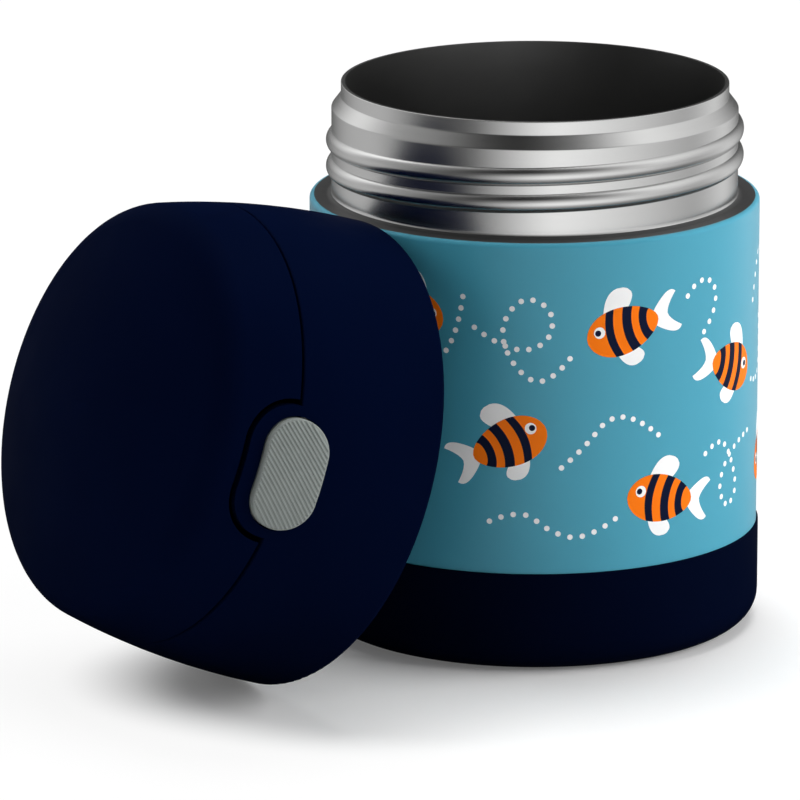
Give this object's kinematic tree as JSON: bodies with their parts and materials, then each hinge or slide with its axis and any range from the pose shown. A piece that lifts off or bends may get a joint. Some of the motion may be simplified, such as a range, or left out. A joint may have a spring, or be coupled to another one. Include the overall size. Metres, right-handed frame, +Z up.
{
  "type": "insulated food jar",
  "caption": "Vacuum food jar standing open, its screw lid leaning on it; the lid has a flip cover with a push button and a folding spoon inside.",
  "frame": {"origin": "centre of the jar's foot, on the floor", "axes": "+Z up along the jar's axis; +Y points away from the side where the lid leans, so the lid stands towards -X and -Y"},
  "size_m": [0.1508, 0.1427, 0.1099],
  "materials": {
    "painted_steel": "satin teal paint; the neck is bare brushed steel",
    "steel": "brushed",
    "foil": "bright",
    "getter_metal": "porous",
    "navy_boot": "satin",
    "navy_plastic": "satin",
    "inner_plastic": "satin",
    "grey_plastic": "satin",
    "silicone": "matt",
    "foam": "matt",
    "spoon_steel": "polished"
  },
  "bodies": {
    "jar": {"jar_outer_shell": "painted_steel", "jar_inner_liner": "steel", "jar_bottom_plate": "steel", "jar_vacuum_seal": "steel", "jar_getter_tray": "steel", "jar_getter": "getter_metal", "jar_heat_shield": "foil", "jar_boot": "navy_boot"},
    "lid": {"lid_shell": "navy_plastic", "lid_thread_ring": "inner_plastic", "lid_plug": "inner_plastic", "lid_gasket": "silicone", "lid_insulation": "foam", "lid_deck": "inner_plastic", "lid_hinge_pin": "steel", "button_spring_left": "steel", "button_spring_right": "steel"},
    "button": {"button_cap": "grey_plastic", "button_latch": "inner_plastic"},
    "cover": {"cover_shell": "navy_plastic", "cover_liner": "inner_plastic", "cover_catch": "inner_plastic"},
    "spoon": {"spoon_bowl": "spoon_steel", "spoon_handle": "spoon_steel", "spoon_pin": "steel"}
  },
  "joints": [
    {"name": "lid_lift", "type": "slide", "parent": "jar", "child": "lid", "axis": [0, 0, 1], "range_m": [0, 0.12]},
    {"name": "cover_hinge", "type": "hinge", "parent": "lid", "child": "cover", "pos_m": [-0.09375, -0.01633, 0.05449], "axis": [-0.2782, -0.1549, -0.9479], "range_deg": [0, 105]},
    {"name": "button_press", "type": "slide", "parent": "lid", "child": "button", "axis": [-0.5098, 0.8603, 0.0091], "range_m": [0, 0.0018], "stiffness_N_per_m": 500, "springref_m": -0.0015},
    {"name": "spoon_lift", "type": "slide", "parent": "lid", "child": "spoon", "axis": [-0.8141, -0.4858, 0.3183], "range_m": [0, 0.0275]}
  ],
  "couplings": [
    {"joint": "spoon_lift", "follows": "cover_hinge", "m_per_rad": 0.015}
  ]
}
